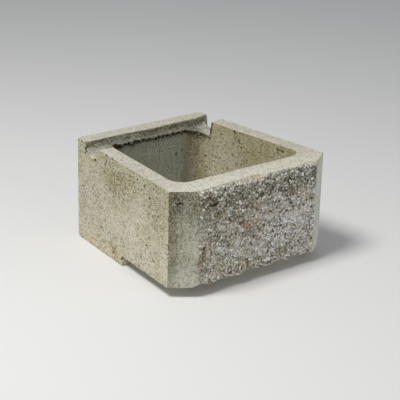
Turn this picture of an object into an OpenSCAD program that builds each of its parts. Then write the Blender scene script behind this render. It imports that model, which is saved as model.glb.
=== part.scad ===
// Concrete planter block: one casting with an open planting cavity, a split front
// face between two slanted cheeks, a cross groove and lip at the rear of its top,
// and a nose that hangs below the rear of its underside.
// Frame: +Z up, the split face looks along -Y, origin under the middle of the block.

/* [Block] */
// Width across the two cheeks, the widest place
block_width = 500; // [400:1:700]
// Width of the narrower rear face
rear_width = 410; // [330:1:490]
// Length from the split face to the rear face
block_length = 500; // [400:1:700]
// Height of the walls, from the front underside to the level top
wall_height = 250; // [150:1:400]
// Radius of the two upright rear corners
rear_corner_radius = 6; // [2:0.5:25]

/* [Front face] */
// Width of each slanted cheek, measured across the block
cheek_width = 64; // [20:1:100]
// How far each cheek runs back from the split face
cheek_depth = 46; // [20:1:60]
// Height of the split face's high points over its hollows
split_relief = 10; // [2:0.5:14]
// Size of one broken facet of the split face
split_facet = 21; // [16:1:60]

/* [Planting cavity] */
// Thickness of the front wall behind the split face
front_wall = 71; // [50:1:110]
// Thickness of each side wall, measured across the block
side_wall = 44; // [30:1:70]
// Thickness of the rear wall below the groove
rear_wall = 57; // [50:1:90]
// Radius of the upright inner corners behind the front wall
front_inner_radius = 44; // [10:1:70]
// Radius of the upright inner corners before the rear wall
rear_inner_radius = 48; // [10:1:70]

/* [Groove and lip] */
// Thickness of the lip behind the groove, at the top
lip_thickness = 42; // [25:1:49]
// Width of the groove across its mouth
groove_width = 74; // [60:1:110]
// Depth of the groove below the top
groove_depth = 31; // [10:0.5:35]

/* [Nose] */
// How far the nose hangs below the front underside
nose_drop = 25; // [10:0.5:50]
// Length of the nose, from the rear face forwards
nose_length = 239; // [120:1:300]

/* [Hidden] */

concrete = [0.72, 0.70, 0.65];

front_y = -block_length / 2;
rear_y = block_length / 2;
cheek_y = front_y + cheek_depth;
split_half_width = block_width / 2 - cheek_width;
top_z = nose_drop + wall_height;
step_y = rear_y - nose_length;
cavity_front_y = front_y + front_wall;
cavity_rear_y = rear_y - rear_wall;

// A circle through both rims of the groove and its lowest line
groove_y = rear_y - lip_thickness - groove_width / 2;
groove_radius = (pow(groove_width / 2, 2) + pow(groove_depth, 2)) / (2 * groove_depth);

// How far a cutting solid runs past the faces that it cuts
overshoot = 10;
// Number of straight pieces in each rounded upright corner
corner_steps = 9;

// The facets form a grid that is a little larger than the split face
facet_columns = ceil((2 * split_half_width + cheek_width) / split_facet);
facet_rows = ceil((top_z + overshoot) / split_facet);
facet_left_x = -facet_columns * split_facet / 2;
// How far a facet's corner strays from its place in the grid, in facets
facet_stray = 0.2;
// A wide hollow runs across the split face: height of its middle and half its height
hollow_z = nose_drop + 0.68 * wall_height;
hollow_half_height = 0.32 * wall_height;

// Half the outside width behind the cheeks, at a distance along the block
function outer_half(y) =
    block_width / 2 - (block_width - rear_width) / 2 * (y - cheek_y) / (rear_y - cheek_y);

// Half the cavity's width, at a distance along the block
function inner_half(y) = outer_half(y) - side_wall;

// Direction from one point to another
function towards(from, to) = (to - from) / norm(to - from);

// Arc that rounds a corner between its two neighbouring points
function rounded(before, corner, after, radius) =
    let (u = towards(corner, before))
    let (v = towards(corner, after))
    let (half_angle = acos(u * v) / 2)
    let (centre = corner + towards([0, 0], u + v) * radius / sin(half_angle))
    let (first = corner + u * radius / tan(half_angle) - centre)
    let (last = corner + v * radius / tan(half_angle) - centre)
    let (start = atan2(first.y, first.x))
    let (turn = (atan2(last.y, last.x) - start + 540) % 360 - 180)
    [for (i = [0 : corner_steps])
        let (a = start + turn * i / corner_steps)
        centre + radius * [cos(a), sin(a)]];

// The left half of an outline, from its right half
function mirrored(right_half) =
    [for (i = [len(right_half) - 1 : -1 : 0]) [-right_half[i].x, right_half[i].y]];

// A number from 0 to 1 for each facet's corner, without any order that shows
function scattered(column, row, kind) =
    let (wave = 9973 * sin(97.3 * column + 57.7 * row + 131.9 * kind))
    wave - floor(wave);

// Place of a facet's corner across the face and up it, in the even grid
function facet_x(column) = facet_left_x + column * split_facet;
function facet_z(row) = row * split_facet;

// How far a facet's corner strays: none strays on the rim of the grid
function strayed(column, row, kind) =
    column % facet_columns == 0 || row % facet_rows == 0 ? 0
    : split_facet * facet_stray * (2 * scattered(column, row, kind) - 1);

// Broken surface at a facet's corner, unscaled: single chips, broad swells and the hollow
function broken(column, row) =
    0.45 * scattered(column, row, 0)
    + 0.20 * sin(67 * column + 23 * row)
    + 0.12 * sin(139 * row - 41 * column)
    + 0.40 * max(0, 1 - pow((facet_z(row) - hollow_z) / hollow_half_height, 2));

// The relief fades towards the cheeks, where the break is straighter
function relief_share(column) =
    min(1, 0.25 + 0.75 * max(0, split_half_width - abs(facet_x(column))) / split_facet);

// The values that fall on the split face set its highest and lowest points
on_face = [for (column = [0 : facet_columns]) for (row = [0 : facet_rows])
    if (abs(facet_x(column)) < split_half_width && facet_z(row) > nose_drop && facet_z(row) < top_z)
        broken(column, row)];

// How far the broken surface lies behind the foremost point of the block
function fallen_back(column, row) =
    let (share = (broken(column, row) - min(on_face)) / (max(on_face) - min(on_face)))
    // The root leaves few corners far forward and most of them near the hollows
    split_relief * relief_share(column) * sqrt(min(1, max(0, share)));

module outside_plan() {
    // The front edge stands proud by this much until the split is cut
    proud = 2;
    right_half = [
        [split_half_width - proud * cheek_width / cheek_depth, front_y - proud],
        [block_width / 2, cheek_y],
        each rounded([block_width / 2, cheek_y], [rear_width / 2, rear_y], [0, rear_y],
            rear_corner_radius)
    ];
    polygon([each right_half, each mirrored(right_half)]);
}

module cavity_plan() {
    front_corner = [inner_half(cavity_front_y), cavity_front_y];
    rear_corner = [inner_half(cavity_rear_y), cavity_rear_y];
    right_half = [
        each rounded([0, cavity_front_y], front_corner, rear_corner, front_inner_radius),
        each rounded(front_corner, rear_corner, [0, cavity_rear_y], rear_inner_radius)
    ];
    polygon([each right_half, each mirrored(right_half)]);
}

// The space ahead of the nose, under the front of the block
module front_underside() {
    translate([-block_width, front_y - block_length, -overshoot])
        cube([2 * block_width, step_y - front_y + block_length, nose_drop + overshoot]);
}

// The planting cavity, open at the top and the bottom
module cavity() {
    translate([0, 0, -overshoot])
        linear_extrude(top_z + 2 * overshoot)
            cavity_plan();
}

// The round-bottomed groove that crosses the top ahead of the lip
module groove() {
    translate([0, groove_y, top_z - groove_depth + groove_radius])
        rotate([0, 90, 0])
            cylinder(h = block_width + 2 * overshoot, r = groove_radius, center = true, $fn = 96);
}

// What breaks away in front of the split face, as one closed grid of facets
module split_waste() {
    corners = (facet_columns + 1) * (facet_rows + 1);
    outer = [for (row = [0 : facet_rows]) for (column = [0 : facet_columns])
        [facet_x(column), front_y - overshoot, facet_z(row)]];
    inner = [for (row = [0 : facet_rows]) for (column = [0 : facet_columns])
        [facet_x(column) + strayed(column, row, 1), front_y + fallen_back(column, row),
            facet_z(row) + strayed(column, row, 2)]];
    function at(column, row) = row * (facet_columns + 1) + column;
    front = [for (row = [0 : facet_rows - 1]) for (column = [0 : facet_columns - 1])
        [at(column, row), at(column, row + 1), at(column + 1, row + 1), at(column + 1, row)]];
    // Neighbouring facets are halved along crossing diagonals
    facets = [for (row = [0 : facet_rows - 1]) for (column = [0 : facet_columns - 1])
        let (a = corners + at(column, row))
        let (b = corners + at(column + 1, row))
        let (c = corners + at(column + 1, row + 1))
        let (d = corners + at(column, row + 1))
        each (row + column) % 2 == 0 ? [[a, b, c], [a, c, d]] : [[a, b, d], [b, c, d]]];
    lower_edge = [for (column = [0 : facet_columns - 1])
        [at(column, 0), at(column + 1, 0), corners + at(column + 1, 0), corners + at(column, 0)]];
    upper_edge = [for (column = [0 : facet_columns - 1])
        [at(column + 1, facet_rows), at(column, facet_rows),
            corners + at(column, facet_rows), corners + at(column + 1, facet_rows)]];
    left_edge = [for (row = [0 : facet_rows - 1])
        [at(0, row + 1), at(0, row), corners + at(0, row), corners + at(0, row + 1)]];
    right_edge = [for (row = [0 : facet_rows - 1])
        [at(facet_columns, row), at(facet_columns, row + 1),
            corners + at(facet_columns, row + 1), corners + at(facet_columns, row)]];
    polyhedron(
        points = [each outer, each inner],
        faces = [each front, each facets, each lower_edge, each upper_edge, each left_edge, each right_edge]
    );
}

module planter_block() {
    color(concrete)
        difference() {
            linear_extrude(top_z)
                outside_plan();
            front_underside();
            cavity();
            groove();
            split_waste();
        }
}

planter_block();
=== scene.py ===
import itertools
import math
from functools import partialmethod

import bmesh
import bpy
import numpy as np
from mathutils import Matrix, Quaternion, Vector


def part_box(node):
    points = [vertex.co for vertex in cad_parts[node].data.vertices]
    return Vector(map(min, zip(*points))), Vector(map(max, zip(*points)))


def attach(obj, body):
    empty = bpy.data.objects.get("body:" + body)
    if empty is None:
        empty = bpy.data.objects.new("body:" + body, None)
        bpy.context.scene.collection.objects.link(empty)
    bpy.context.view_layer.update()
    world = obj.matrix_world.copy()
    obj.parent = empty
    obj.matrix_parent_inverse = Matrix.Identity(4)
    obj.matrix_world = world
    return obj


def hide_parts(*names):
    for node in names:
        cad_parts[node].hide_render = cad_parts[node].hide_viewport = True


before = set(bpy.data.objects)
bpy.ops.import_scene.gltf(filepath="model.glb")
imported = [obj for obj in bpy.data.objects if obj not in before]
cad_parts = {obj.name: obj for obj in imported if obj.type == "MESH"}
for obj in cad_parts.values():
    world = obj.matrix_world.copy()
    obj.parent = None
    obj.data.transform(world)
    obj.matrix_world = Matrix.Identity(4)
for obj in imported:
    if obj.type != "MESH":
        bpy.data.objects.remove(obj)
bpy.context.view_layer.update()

# Everything is in metres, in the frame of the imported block: +Z up, the split face
# looks along -Y, and the origin lies under the middle of the block.
block_low, block_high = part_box("planter_block")

# ---- Sizes of the block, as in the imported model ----
FRONT_Y, REAR_Y = block_low.y, block_high.y
TOP_Z, BASE_Z = block_high.z, block_low.z
HALF_WIDTH = block_high.x
REAR_HALF_WIDTH = 0.205
REAR_CORNER_RADIUS = 0.006
CHEEK_WIDTH = 0.064
CHEEK_DEPTH = 0.046
FRONT_WALL = 0.071
SIDE_WALL = 0.044
REAR_WALL = 0.057
FRONT_INNER_RADIUS = 0.044
REAR_INNER_RADIUS = 0.048
NOSE_DROP = 0.025
NOSE_LENGTH = 0.239

SPLIT_HALF_WIDTH = HALF_WIDTH - CHEEK_WIDTH
CHEEK_Y = FRONT_Y + CHEEK_DEPTH
STEP_Y = REAR_Y - NOSE_LENGTH
CAVITY_FRONT_Y = FRONT_Y + FRONT_WALL
CAVITY_REAR_Y = REAR_Y - REAR_WALL
UNDERSIDE_Z = BASE_Z + NOSE_DROP

LIP_THICKNESS = 0.042
GROOVE_WIDTH = 0.074
GROOVE_DEPTH = 0.031
GROOVE_RADIUS = ((GROOVE_WIDTH / 2) ** 2 + GROOVE_DEPTH ** 2) / (2 * GROOVE_DEPTH)
GROOVE_Y = REAR_Y - LIP_THICKNESS - GROOVE_WIDTH / 2

# The groove's right end has steep faces and a floor that climbs towards the lip, less so at the
# outside: where the change begins and ends, ahead and at the lip, the depth ahead, the front and
# rear faces where x is RIGHT_MIDDLE, and the fillets at their feet
RIGHT_END = (0.095, 0.135)
RIGHT_END_AT_LIP = (0.112, 0.215)
RIGHT_MIDDLE = 0.18
RIGHT_DEPTH = 0.0405
RIGHT_FRONT, RIGHT_REAR = 0.158, 0.2165
RIGHT_FILLET = 0.004

# The main relief of the split face
SPLIT_RELIEF = 0.01
FACET = 0.021
FACET_STRAY = 0.2
FACET_COLUMNS = math.ceil((2 * SPLIT_HALF_WIDTH + CHEEK_WIDTH) / FACET)
FACET_ROWS = math.ceil((TOP_Z - BASE_Z + 0.01) / FACET)
FACET_LEFT = -FACET_COLUMNS * FACET / 2
HOLLOW_Z = UNDERSIDE_Z + 0.68 * (TOP_Z - UNDERSIDE_Z)
HOLLOW_HALF_HEIGHT = 0.32 * (TOP_Z - UNDERSIDE_Z)

MM = 0.001


# ---- Repeatable noise ----
def hashed(seed, *places):
    """Repeatable random numbers from 0 to 1 for whole-number places."""
    mixed = np.full(np.broadcast(*places).shape, seed * 7919 + 17, dtype=np.int64)
    for place, factor in zip(places, (374761393, 668265263, 1103515245)):
        mixed = (mixed + place.astype(np.int64) * factor) & 0xFFFFFFFF
        mixed = ((mixed ^ (mixed >> 15)) * 2246822519) & 0xFFFFFFFF
        mixed = ((mixed ^ (mixed >> 13)) * 3266489917) & 0xFFFFFFFF
    return (mixed ^ (mixed >> 16)) / 4294967295.0


def value_noise(seed, size, *axes):
    """Smooth noise from -1 to 1 with features of about the given size, in 1 to 3 dimensions."""
    scaled = [np.asarray(axis, dtype=np.float64) / size for axis in axes]
    cells = [np.floor(s) for s in scaled]
    eased = [(s - c) ** 2 * (3 - 2 * (s - c)) for s, c in zip(scaled, cells)]
    total = 0.0
    for corner in range(2 ** len(axes)):
        bits = [(corner >> i) & 1 for i in range(len(axes))]
        weight = 1.0
        for bit, e in zip(bits, eased):
            weight = weight * (e if bit else 1 - e)
        total = total + weight * hashed(seed, *[c + bit for c, bit in zip(cells, bits)])
    return 2 * total - 1


def noise(seed, size, octaves, *axes):
    """Several sizes of value noise on top of each other, each half as large and half as strong."""
    total, strength = 0.0, 1.0
    for octave in range(octaves):
        total = total + strength * value_noise(seed + octave, size / 2 ** octave, *axes)
        strength = strength * 0.5
    return total / (2 - 2 * strength)


def broken_facets(seed, size, u, v, rise, tilt, crown):
    """A surface of rounded facets of one size, each at its own height and tilt."""
    su, sv = u / size, v / size
    cu, cv = np.floor(su), np.floor(sv)
    lowest = np.full(np.broadcast(su, sv).shape, 9.0)
    for i, j in itertools.product((-1, 0, 1), repeat=2):
        across, up, *chances = (hashed(seed + kind, cu + i, cv + j) for kind in range(5))
        raised, tilted_u, tilted_v = (2 * chance - 1 for chance in chances)
        du, dv = su - cu - i - across, sv - cv - j - up
        height = rise * raised + crown * (du * du + dv * dv)
        height = height + tilt * (du * tilted_u) + tilt * (dv * tilted_v)
        lowest = np.minimum(lowest, height)
    return lowest


def ease(low, high, value):
    """0 below low, 1 above high, and smooth between them."""
    t = np.clip((value - low) / (high - low), 0, 1)
    return t * t * (3 - 2 * t)


# ---- The shape, as signed distances: negative inside the concrete ----
def rounded_and(a, b, radius):
    """What lies inside both a and b, with the edge where they meet rounded."""
    corner = np.hypot(np.maximum(a + radius, 0), np.maximum(b + radius, 0))
    return np.minimum(np.maximum(a, b), -radius) + corner


def outer_half(y):
    """Half the outside width behind the cheeks, at a distance along the block."""
    return HALF_WIDTH - (HALF_WIDTH - REAR_HALF_WIDTH) * (y - CHEEK_Y) / (REAR_Y - CHEEK_Y)


TAPER_COS = math.cos(math.atan2(HALF_WIDTH - REAR_HALF_WIDTH, REAR_Y - CHEEK_Y))
CHEEK_NORMAL = np.array((CHEEK_DEPTH, CHEEK_WIDTH)) / math.hypot(CHEEK_WIDTH, CHEEK_DEPTH)


def side_faces(x, y):
    return (np.abs(x) - outer_half(y)) * TAPER_COS


def cheek_faces(x, y):
    across, along = CHEEK_NORMAL
    return (np.abs(x) - SPLIT_HALF_WIDTH) * across - (y - FRONT_Y) * along


def cavity(x, y):
    sides = (np.abs(x) - outer_half(y) + SIDE_WALL) * TAPER_COS
    front_part = rounded_and(sides, CAVITY_FRONT_Y - y, FRONT_INNER_RADIUS)
    rear_part = rounded_and(sides, y - CAVITY_REAR_Y, REAR_INNER_RADIUS)
    return np.maximum(front_part, rear_part)


def right_groove(x, y, z):
    """The groove's right end: steep faces, both further back outside, and a floor that climbs."""
    outward, down = np.clip(x - RIGHT_MIDDLE, -0.03, 0.03), TOP_Z - z
    ahead = RIGHT_FRONT + 0.22 * outward + 0.15 * down - y
    behind = y - RIGHT_REAR - 0.19 * outward + 0.13 * down
    along = np.clip(y - RIGHT_FRONT, 0, 0.06)
    climb = along * (0.3 + 1.4 * along) * (1 - 0.75 * ease(0.188, 0.21, x))
    below = down - RIGHT_DEPTH + climb
    return np.maximum(rounded_and(ahead, below, RIGHT_FILLET), rounded_and(behind, below, RIGHT_FILLET))


def groove(x, y, z):
    """The groove ahead of the lip: a round trough, with the lip's face a little further forward midway."""
    bulge = 4 * MM * np.exp(-((x - 0.012) / 0.05) ** 2) * ease(0.193, 0.205, y)
    trough = np.hypot(y + bulge - GROOVE_Y, z - TOP_Z + GROOVE_DEPTH - GROOVE_RADIUS) - GROOVE_RADIUS
    at_lip = ease(0.188, 0.212, y)
    begin, end = [ahead + (lip - ahead) * at_lip for ahead, lip in zip(RIGHT_END, RIGHT_END_AT_LIP)]
    share = ease(begin, end, x)
    return (1 - share) * trough + share * right_groove(x, y, z)


def underside(y, z):
    """Below the nose at the rear, and below the higher front underside ahead of it."""
    return np.minimum(np.maximum(BASE_Z - z, STEP_Y - y), UNDERSIDE_Z - z)


def cast_skin(x, y, z):
    """The smooth faces that the mould gave, with sharp edges and without the split face."""
    faces = [side_faces(x, y), cheek_faces(x, y), y - REAR_Y, z - TOP_Z]
    faces += [underside(y, z), -cavity(x, y), -groove(x, y, z)]
    return np.maximum.reduce(np.broadcast_arrays(*faces))


# The stretch of the top edge that has crumbled most: its middle and half width, and how much
# further down and back the damage reaches there
WORN_PLACE, WORN_HALF = -0.016, 0.032
WORN_DOWN, WORN_BACK = 0.005, 0.016
# No damage of the split face's edges reaches further back than this
DAMAGE_END_Y = FRONT_Y + 0.034


def most_worn(x):
    """1 along the stretch of the top edge that has crumbled most, 0 away from it."""
    return np.exp(-((x - WORN_PLACE) / WORN_HALF) ** 4)


def worn_top(x, z):
    """How much has crumbled off under the front edge of the top, and 1 where it has."""
    reach = (8.0 + 8.0 * noise(71, 0.02, 3, x, 0 * x)).clip(2.5) * MM
    reach = reach + 6 * MM * np.exp(-((x + 0.08) / 0.036) ** 4)
    share = np.clip(1 - (TOP_Z - z) / (reach + WORN_DOWN * most_worn(x)), 0, 1)
    return (0.7 * reach + WORN_BACK * most_worn(x)) * share ** 1.5, share


def scattered(column, row, kind):
    """A number from 0 to 1 for each facet's corner, without any order that shows."""
    wave = 9973 * np.sin(np.radians(97.3 * column + 57.7 * row + 131.9 * kind))
    return wave - np.floor(wave)


def facet_corners():
    """How far each corner of the main facets has fallen back, and how far it strays across and up."""
    column, row = np.meshgrid(np.arange(FACET_COLUMNS + 1), np.arange(FACET_ROWS + 1), indexing="ij")
    across, up = FACET_LEFT + column * FACET, row * FACET
    rough = 0.45 * scattered(column, row, 0)
    rough += 0.2 * np.sin(np.radians(67 * column + 23 * row))
    rough += 0.12 * np.sin(np.radians(139 * row - 41 * column))
    rough += 0.4 * np.maximum(0, 1 - ((up - HOLLOW_Z) / HOLLOW_HALF_HEIGHT) ** 2)
    on_face = (np.abs(across) < SPLIT_HALF_WIDTH) & (up > UNDERSIDE_Z) & (up < TOP_Z)
    share = (rough - rough[on_face].min()) / np.ptp(rough[on_face])
    fade = np.minimum(1, 0.25 + 0.75 * np.maximum(0, SPLIT_HALF_WIDTH - np.abs(across)) / FACET)
    rim = (column % FACET_COLUMNS == 0) | (row % FACET_ROWS == 0)
    across_by, up_by = (2 * scattered(column, row, kind) - 1 for kind in (1, 2))
    reach = np.where(rim, 0, FACET * FACET_STRAY)
    return SPLIT_RELIEF * fade * np.sqrt(share.clip(0, 1)), reach * across_by, reach * up_by


FACET_FALLS, FACET_STRAYS_ACROSS, FACET_STRAYS_UP = facet_corners()


def facet_cell(u, v):
    """Column and row of the facets' cell at a place in the even grid, and the place within it."""
    column = np.clip(np.floor(u), 0, FACET_COLUMNS - 1).astype(int)
    row = np.clip(np.floor(v), 0, FACET_ROWS - 1).astype(int)
    return column, row, u - column, v - row


def evenly_between(values, column, row, s, t):
    low = values[column, row] * (1 - s) + values[column + 1, row] * s
    high = values[column, row + 1] * (1 - s) + values[column + 1, row + 1] * s
    return low * (1 - t) + high * t


def facet_fall(x, z):
    """The main relief: flat facets between corners that have fallen back by different amounts."""
    x, z = np.broadcast_arrays(x, z)
    u, v = (x - FACET_LEFT) / FACET, z / FACET
    for _ in range(2):
        cell = facet_cell(u, v)
        u = (x - FACET_LEFT - evenly_between(FACET_STRAYS_ACROSS, *cell)) / FACET
        v = (z - evenly_between(FACET_STRAYS_UP, *cell)) / FACET
    column, row, s, t = facet_cell(u, v)
    a, b = FACET_FALLS[column, row], FACET_FALLS[column + 1, row]
    d, c = FACET_FALLS[column, row + 1], FACET_FALLS[column + 1, row + 1]
    rising = np.where(s >= t, a + s * (b - a) + t * (c - b), a + t * (d - a) + s * (c - d))
    falling = np.where(s + t <= 1, a + s * (b - a) + t * (d - a), c + (1 - s) * (d - c) + (1 - t) * (b - c))
    return np.where((column + row) % 2 == 0, rising, falling)


def split_hollows(x, z):
    """The smaller unevenness of the split face: deeper in its hollows."""
    u = x + 6 * MM * noise(7, 0.02, 2, x, z)
    v = z + 6 * MM * noise(8, 0.02, 2, x, z)
    middle = broken_facets(21, 0.014, u, v, 1.0 * MM, 2.6 * MM, 2.4 * MM)
    small = broken_facets(31, 0.0065, u, v, 0.7 * MM, 1.4 * MM, 1.7 * MM)
    holes = 2.6 * MM * ease(0.42, 0.75, noise(35, 0.009, 2, x, z))
    return middle + small + holes


def split_fall(x, z):
    """How far the split face lies behind the foremost plane of the block."""
    u = x + 4 * MM * noise(5, 0.03, 2, x, z)
    v = z + 4 * MM * noise(6, 0.03, 2, x, z)
    grit = 0.5 * MM * noise(41, 0.004, 2, x, z)
    edge = SPLIT_HALF_WIDTH - np.abs(x)
    inward = 0.25 + 0.75 * ease(0, 0.03, edge)
    ragged = 5 * MM * ease(0.1, 0.8, noise(45, 0.012, 3, x, z)) * ease(-0.012, 0.0, -edge)
    crumbled, worn = worn_top(x, z)
    fine = inward * (1 - 0.6 * worn) * (split_hollows(x, z) + grit)
    return np.maximum(0.6 * MM + 0.92 * facet_fall(u, v) + fine + ragged + crumbled, 0.4 * MM)


# Where the lower edge of the split face has broken away, in millimetres: place across, half
# width, height
LOWER_CHIPS = ((-180, 16, 7), (-115, 18, 4), (-30, 18, 8), (74, 22, 7), (122, 18, 5), (170, 12, 3))


def lower_edge_lift(x):
    """How far the split face's lower edge has risen where it has broken away."""
    lift = 0.8 * MM * (1 + noise(51, 0.012, 3, x, np.zeros_like(x)))
    for place, half, height in LOWER_CHIPS:
        lift = lift + height * MM * np.exp(-((x / MM - place) / half) ** 4)
    return lift


# ---- The sampling grid and the surface drawn through it ----
GRID_STEP = 1.7 * MM
FINE_STEP = 1.25 * MM
COARSE_STEP = 3.0 * MM
# The parts of the grid where the relief and the groove are worked out: the depth behind the
# front and its margin, and the margin around the groove and the depth below the top
RELIEF_BAND, RELIEF_MARGIN = 0.032, 0.004
GROOVE_MARGIN, GROOVE_REACH = 0.03, 0.06
# For samples whose side of the surface is changed
SLIGHT_DISTANCE = 0.05 * MM
UNIT_STEPS = np.eye(3, dtype=int)
CUBE_CORNERS = [(c & 1, (c >> 1) & 1, (c >> 2) & 1) for c in range(8)]
CUBE_EDGES = [(a, a | bit) for a in range(8) for bit in (1, 2, 4) if not a & bit]
TRIANGLE_BUDGET = 196000


def grid_lines():
    """Planes of the sampling grid across, along and up the block, closest near the split face."""
    xs = np.arange(-HALF_WIDTH - 2.3 * GRID_STEP, HALF_WIDTH + 3 * GRID_STEP, GRID_STEP)
    zs = np.arange(BASE_Z - 2.3 * GRID_STEP, TOP_Z + 3 * GRID_STEP, GRID_STEP)
    front = np.arange(FRONT_Y - 3.1 * FINE_STEP, FRONT_Y + RELIEF_BAND, FINE_STEP)
    middle = np.arange(front[-1] + COARSE_STEP, 0.12, COARSE_STEP)
    rear = np.arange(middle[-1] + GRID_STEP, REAR_Y + 3 * GRID_STEP, GRID_STEP)
    return xs, np.concatenate((front, middle, rear)), zs


def worn_and(a, b, radius, bites):
    """What lies inside both a and b, with their edge rounded and bitten by chips."""
    return np.maximum(rounded_and(a, b, radius), bites - np.hypot(a, b))


def wear(seed, size, mean, spread, u, v):
    """Radii along an unevenly worn edge; the mean and the spread are in millimetres."""
    return (mean + spread * noise(seed, size, 3, u, v)) * MM


def chips(seed, size, largest, u, v):
    """Radii of scattered chips along an edge; mostly none. The largest is in millimetres."""
    return largest * MM * ease(0.25, 0.85, noise(seed, size, 3, u, v))


def ledge_burr(x, y, z):
    """Crumbs of concrete left standing along the edge between the groove and the cavity."""
    size = (0.6 + 7.0 * noise(91, 0.01, 3, x, y)).clip(-9, 3.6) * MM
    size = size - 4.0 * MM * ease(0.1, 0.13, x)
    size = size - 20 * MM * ease(TOP_Z - 0.019, TOP_Z - 0.011, z)
    return np.hypot(cavity(x, y), groove(x, y, z)) - size


# Single lumps and pits, in millimetres: those of the ledge by place across, height and radius,
# and the others by place on the block and radius
LEDGE_LUMPS = ((-119, 256, 3), (-103, 250, 5.2), (-96, 253.5, 3.6), (-67, 253.5, 4),
    (-18, 251.5, 3.4), (1, 250.5, 4.8), (14, 252, 3.4), (27, 252, 3.4), (55, 252.5, 3))
LEDGE_GAPS = ((-129, 256.5, 5), (-122.5, 251, 6), (-116.5, 247, 5.2), (-109.5, 248.5, 5.5),
    (-104, 246, 3.7), (-89, 249.2, 3.4), (-80, 250, 4), (-58, 251, 5.5), (-49, 250, 5.5),
    (-31, 250, 4.5), (-10, 250, 3.5), (8, 247.5, 3.5), (20, 249, 3.8), (34, 249, 4.3), (46, 249, 3),
    (66, 250, 3.8), (87, 249.5, 4.2), (101, 251, 3.6), (111, 250, 4.6))
LUMPS = ((-211.8, 171.5, 244, 5), (-212.5, 164, 244.5, 5.6), (-213.5, 157, 245.5, 5.2),
    (-214.5, 150, 249, 4), (-211.5, 179, 245.5, 3.6), (173, 170, 236.5, 4.5),
    (171, 183, 235.5, 3.8), (176, 163, 239, 5))
LUMPS += tuple((x, CAVITY_REAR_Y / MM + 1, z, radius) for x, z, radius in LEDGE_LUMPS)
PITS = ((-227.5, -220, 244, 3.8), (-222.5, -223.5, 245.5, 2.6), (-233, -216.5, 242.5, 2.6),
    (-241, -120, 229, 3.2), (194.6, -89, 257.8, 2.5), (163.2, 168, 175.5, 2.9),
    (-210, 200.5, 264, 2.8), (-210, 204.5, 257.5, 4.2), (-209.5, 199, 251, 3),
    (-209, 205.5, 245, 3), (-215, 150, 243, 3.5), (-220.5, 93, 273, 3), (-223.5, 62, 272.5, 2.8),
    (-228.5, 9.5, 22.5, 4.5), (-228, 15, 18, 3.2), (195.3, -95, 258.4, 2.5),
    (195.9, -101, 258.8, 2.7), (196.6, -108, 258.5, 3))
PITS += tuple((x, CAVITY_REAR_Y / MM - 1, z, radius) for x, z, radius in LEDGE_GAPS)
WORN_CORNERS = ((-206.5, 251.5, 276.5, 8.5), (207.5, 249, 276.5, 8.5), (-207, 252, -2, 9))


# The crack under a dark facet at the upper left of the split: its middle, half width and half
# height, half the width and height of the area without stones, and the radius of its pits
CRACK_MIDDLE, CRACK_HALF_WIDTH, CRACK_HALF_HEIGHT = (-0.143, 0.2365), 0.012, 0.009
CRACK_CLEAR = (0.015, 0.012)
CRACK_PIT = 2.4


def crack_pits():
    """Small pits in a curve, which make the crack. In millimetres, as the other pits."""
    turns = np.radians(np.linspace(195, 345, 10))
    x = CRACK_MIDDLE[0] + CRACK_HALF_WIDTH * np.cos(turns)
    z = CRACK_MIDDLE[1] + CRACK_HALF_HEIGHT * np.sin(turns)
    y = FRONT_Y + split_fall(x, z)
    return tuple((*place, CRACK_PIT) for place in zip(x / MM, y / MM, z / MM))


def local_distance(axes, spot):
    """The stretch of the grid around a lump or pit, the distances from it there, and its radius."""
    *place, radius = (value * MM for value in spot)
    spans = [np.flatnonzero(np.abs(axis - p) < 1.6 * radius) for axis, p in zip(axes, place)]
    x, y, z = (axis[span] - p for axis, span, p in zip(axes, spans, place))
    gap = np.sqrt(x[:, None, None] ** 2 + y[None, :, None] ** 2 + z[None, None, :] ** 2)
    return np.ix_(*spans), gap, radius


def worn_casting(x, y, z):
    """The outside and the cavity with worn and chipped edges, without the groove and the split face."""
    end = np.sign(x) * 3
    shape = rounded_and(side_faces(x, y), y - REAR_Y, REAR_CORNER_RADIUS)
    edges = wear(60, 0.014, 1.6, 0.9, z, end), chips(63, 0.01, 3.6, z, end)
    shape = worn_and(shape, cheek_faces(x, y), *edges)
    edges = wear(61, 0.014, 2.2, 1.4, x, y), chips(64, 0.016, 4.0, x, y)
    shape = worn_and(shape, z - TOP_Z, *edges).astype(np.float32)
    ahead = 1 - ease(FRONT_Y + 0.008, DAMAGE_END_Y, y)
    edges = wear(65, 0.014, 1.8, 1.2, x, y), chips(66, 0.018, 4.0, x, y)
    shape = worn_and(shape, underside(y, z - lower_edge_lift(x) * ahead), *edges).astype(np.float32)
    edges = wear(62, 0.012, 1.5, 0.9, x, y), chips(67, 0.016, 3.0, x, y)
    return worn_and(shape, -cavity(x, y), *edges).astype(np.float32)


def grooved(shape, x, y, z):
    """Cuts the groove, with worn flanks and a chipped lip, and leaves crumbs along its ledge."""
    trough = groove(x, y, z) + 0.9 * MM * noise(70, 0.007, 2, x, y, z)
    at_lip = ease(0.196, 0.204, y)
    radius = (2.2 + 1.8 * ease(0.1, 0.16, x) * (1 - at_lip)) * MM
    lip_chips = (3.6 + 2.6 * noise(72, 0.01, 3, x, y)) * MM * at_lip
    bites = chips(68, 0.012, 5.0, x, y) + lip_chips - 2.2 * MM
    return np.minimum(worn_and(shape, -trough, radius, bites), ledge_burr(x, y, z))


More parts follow.
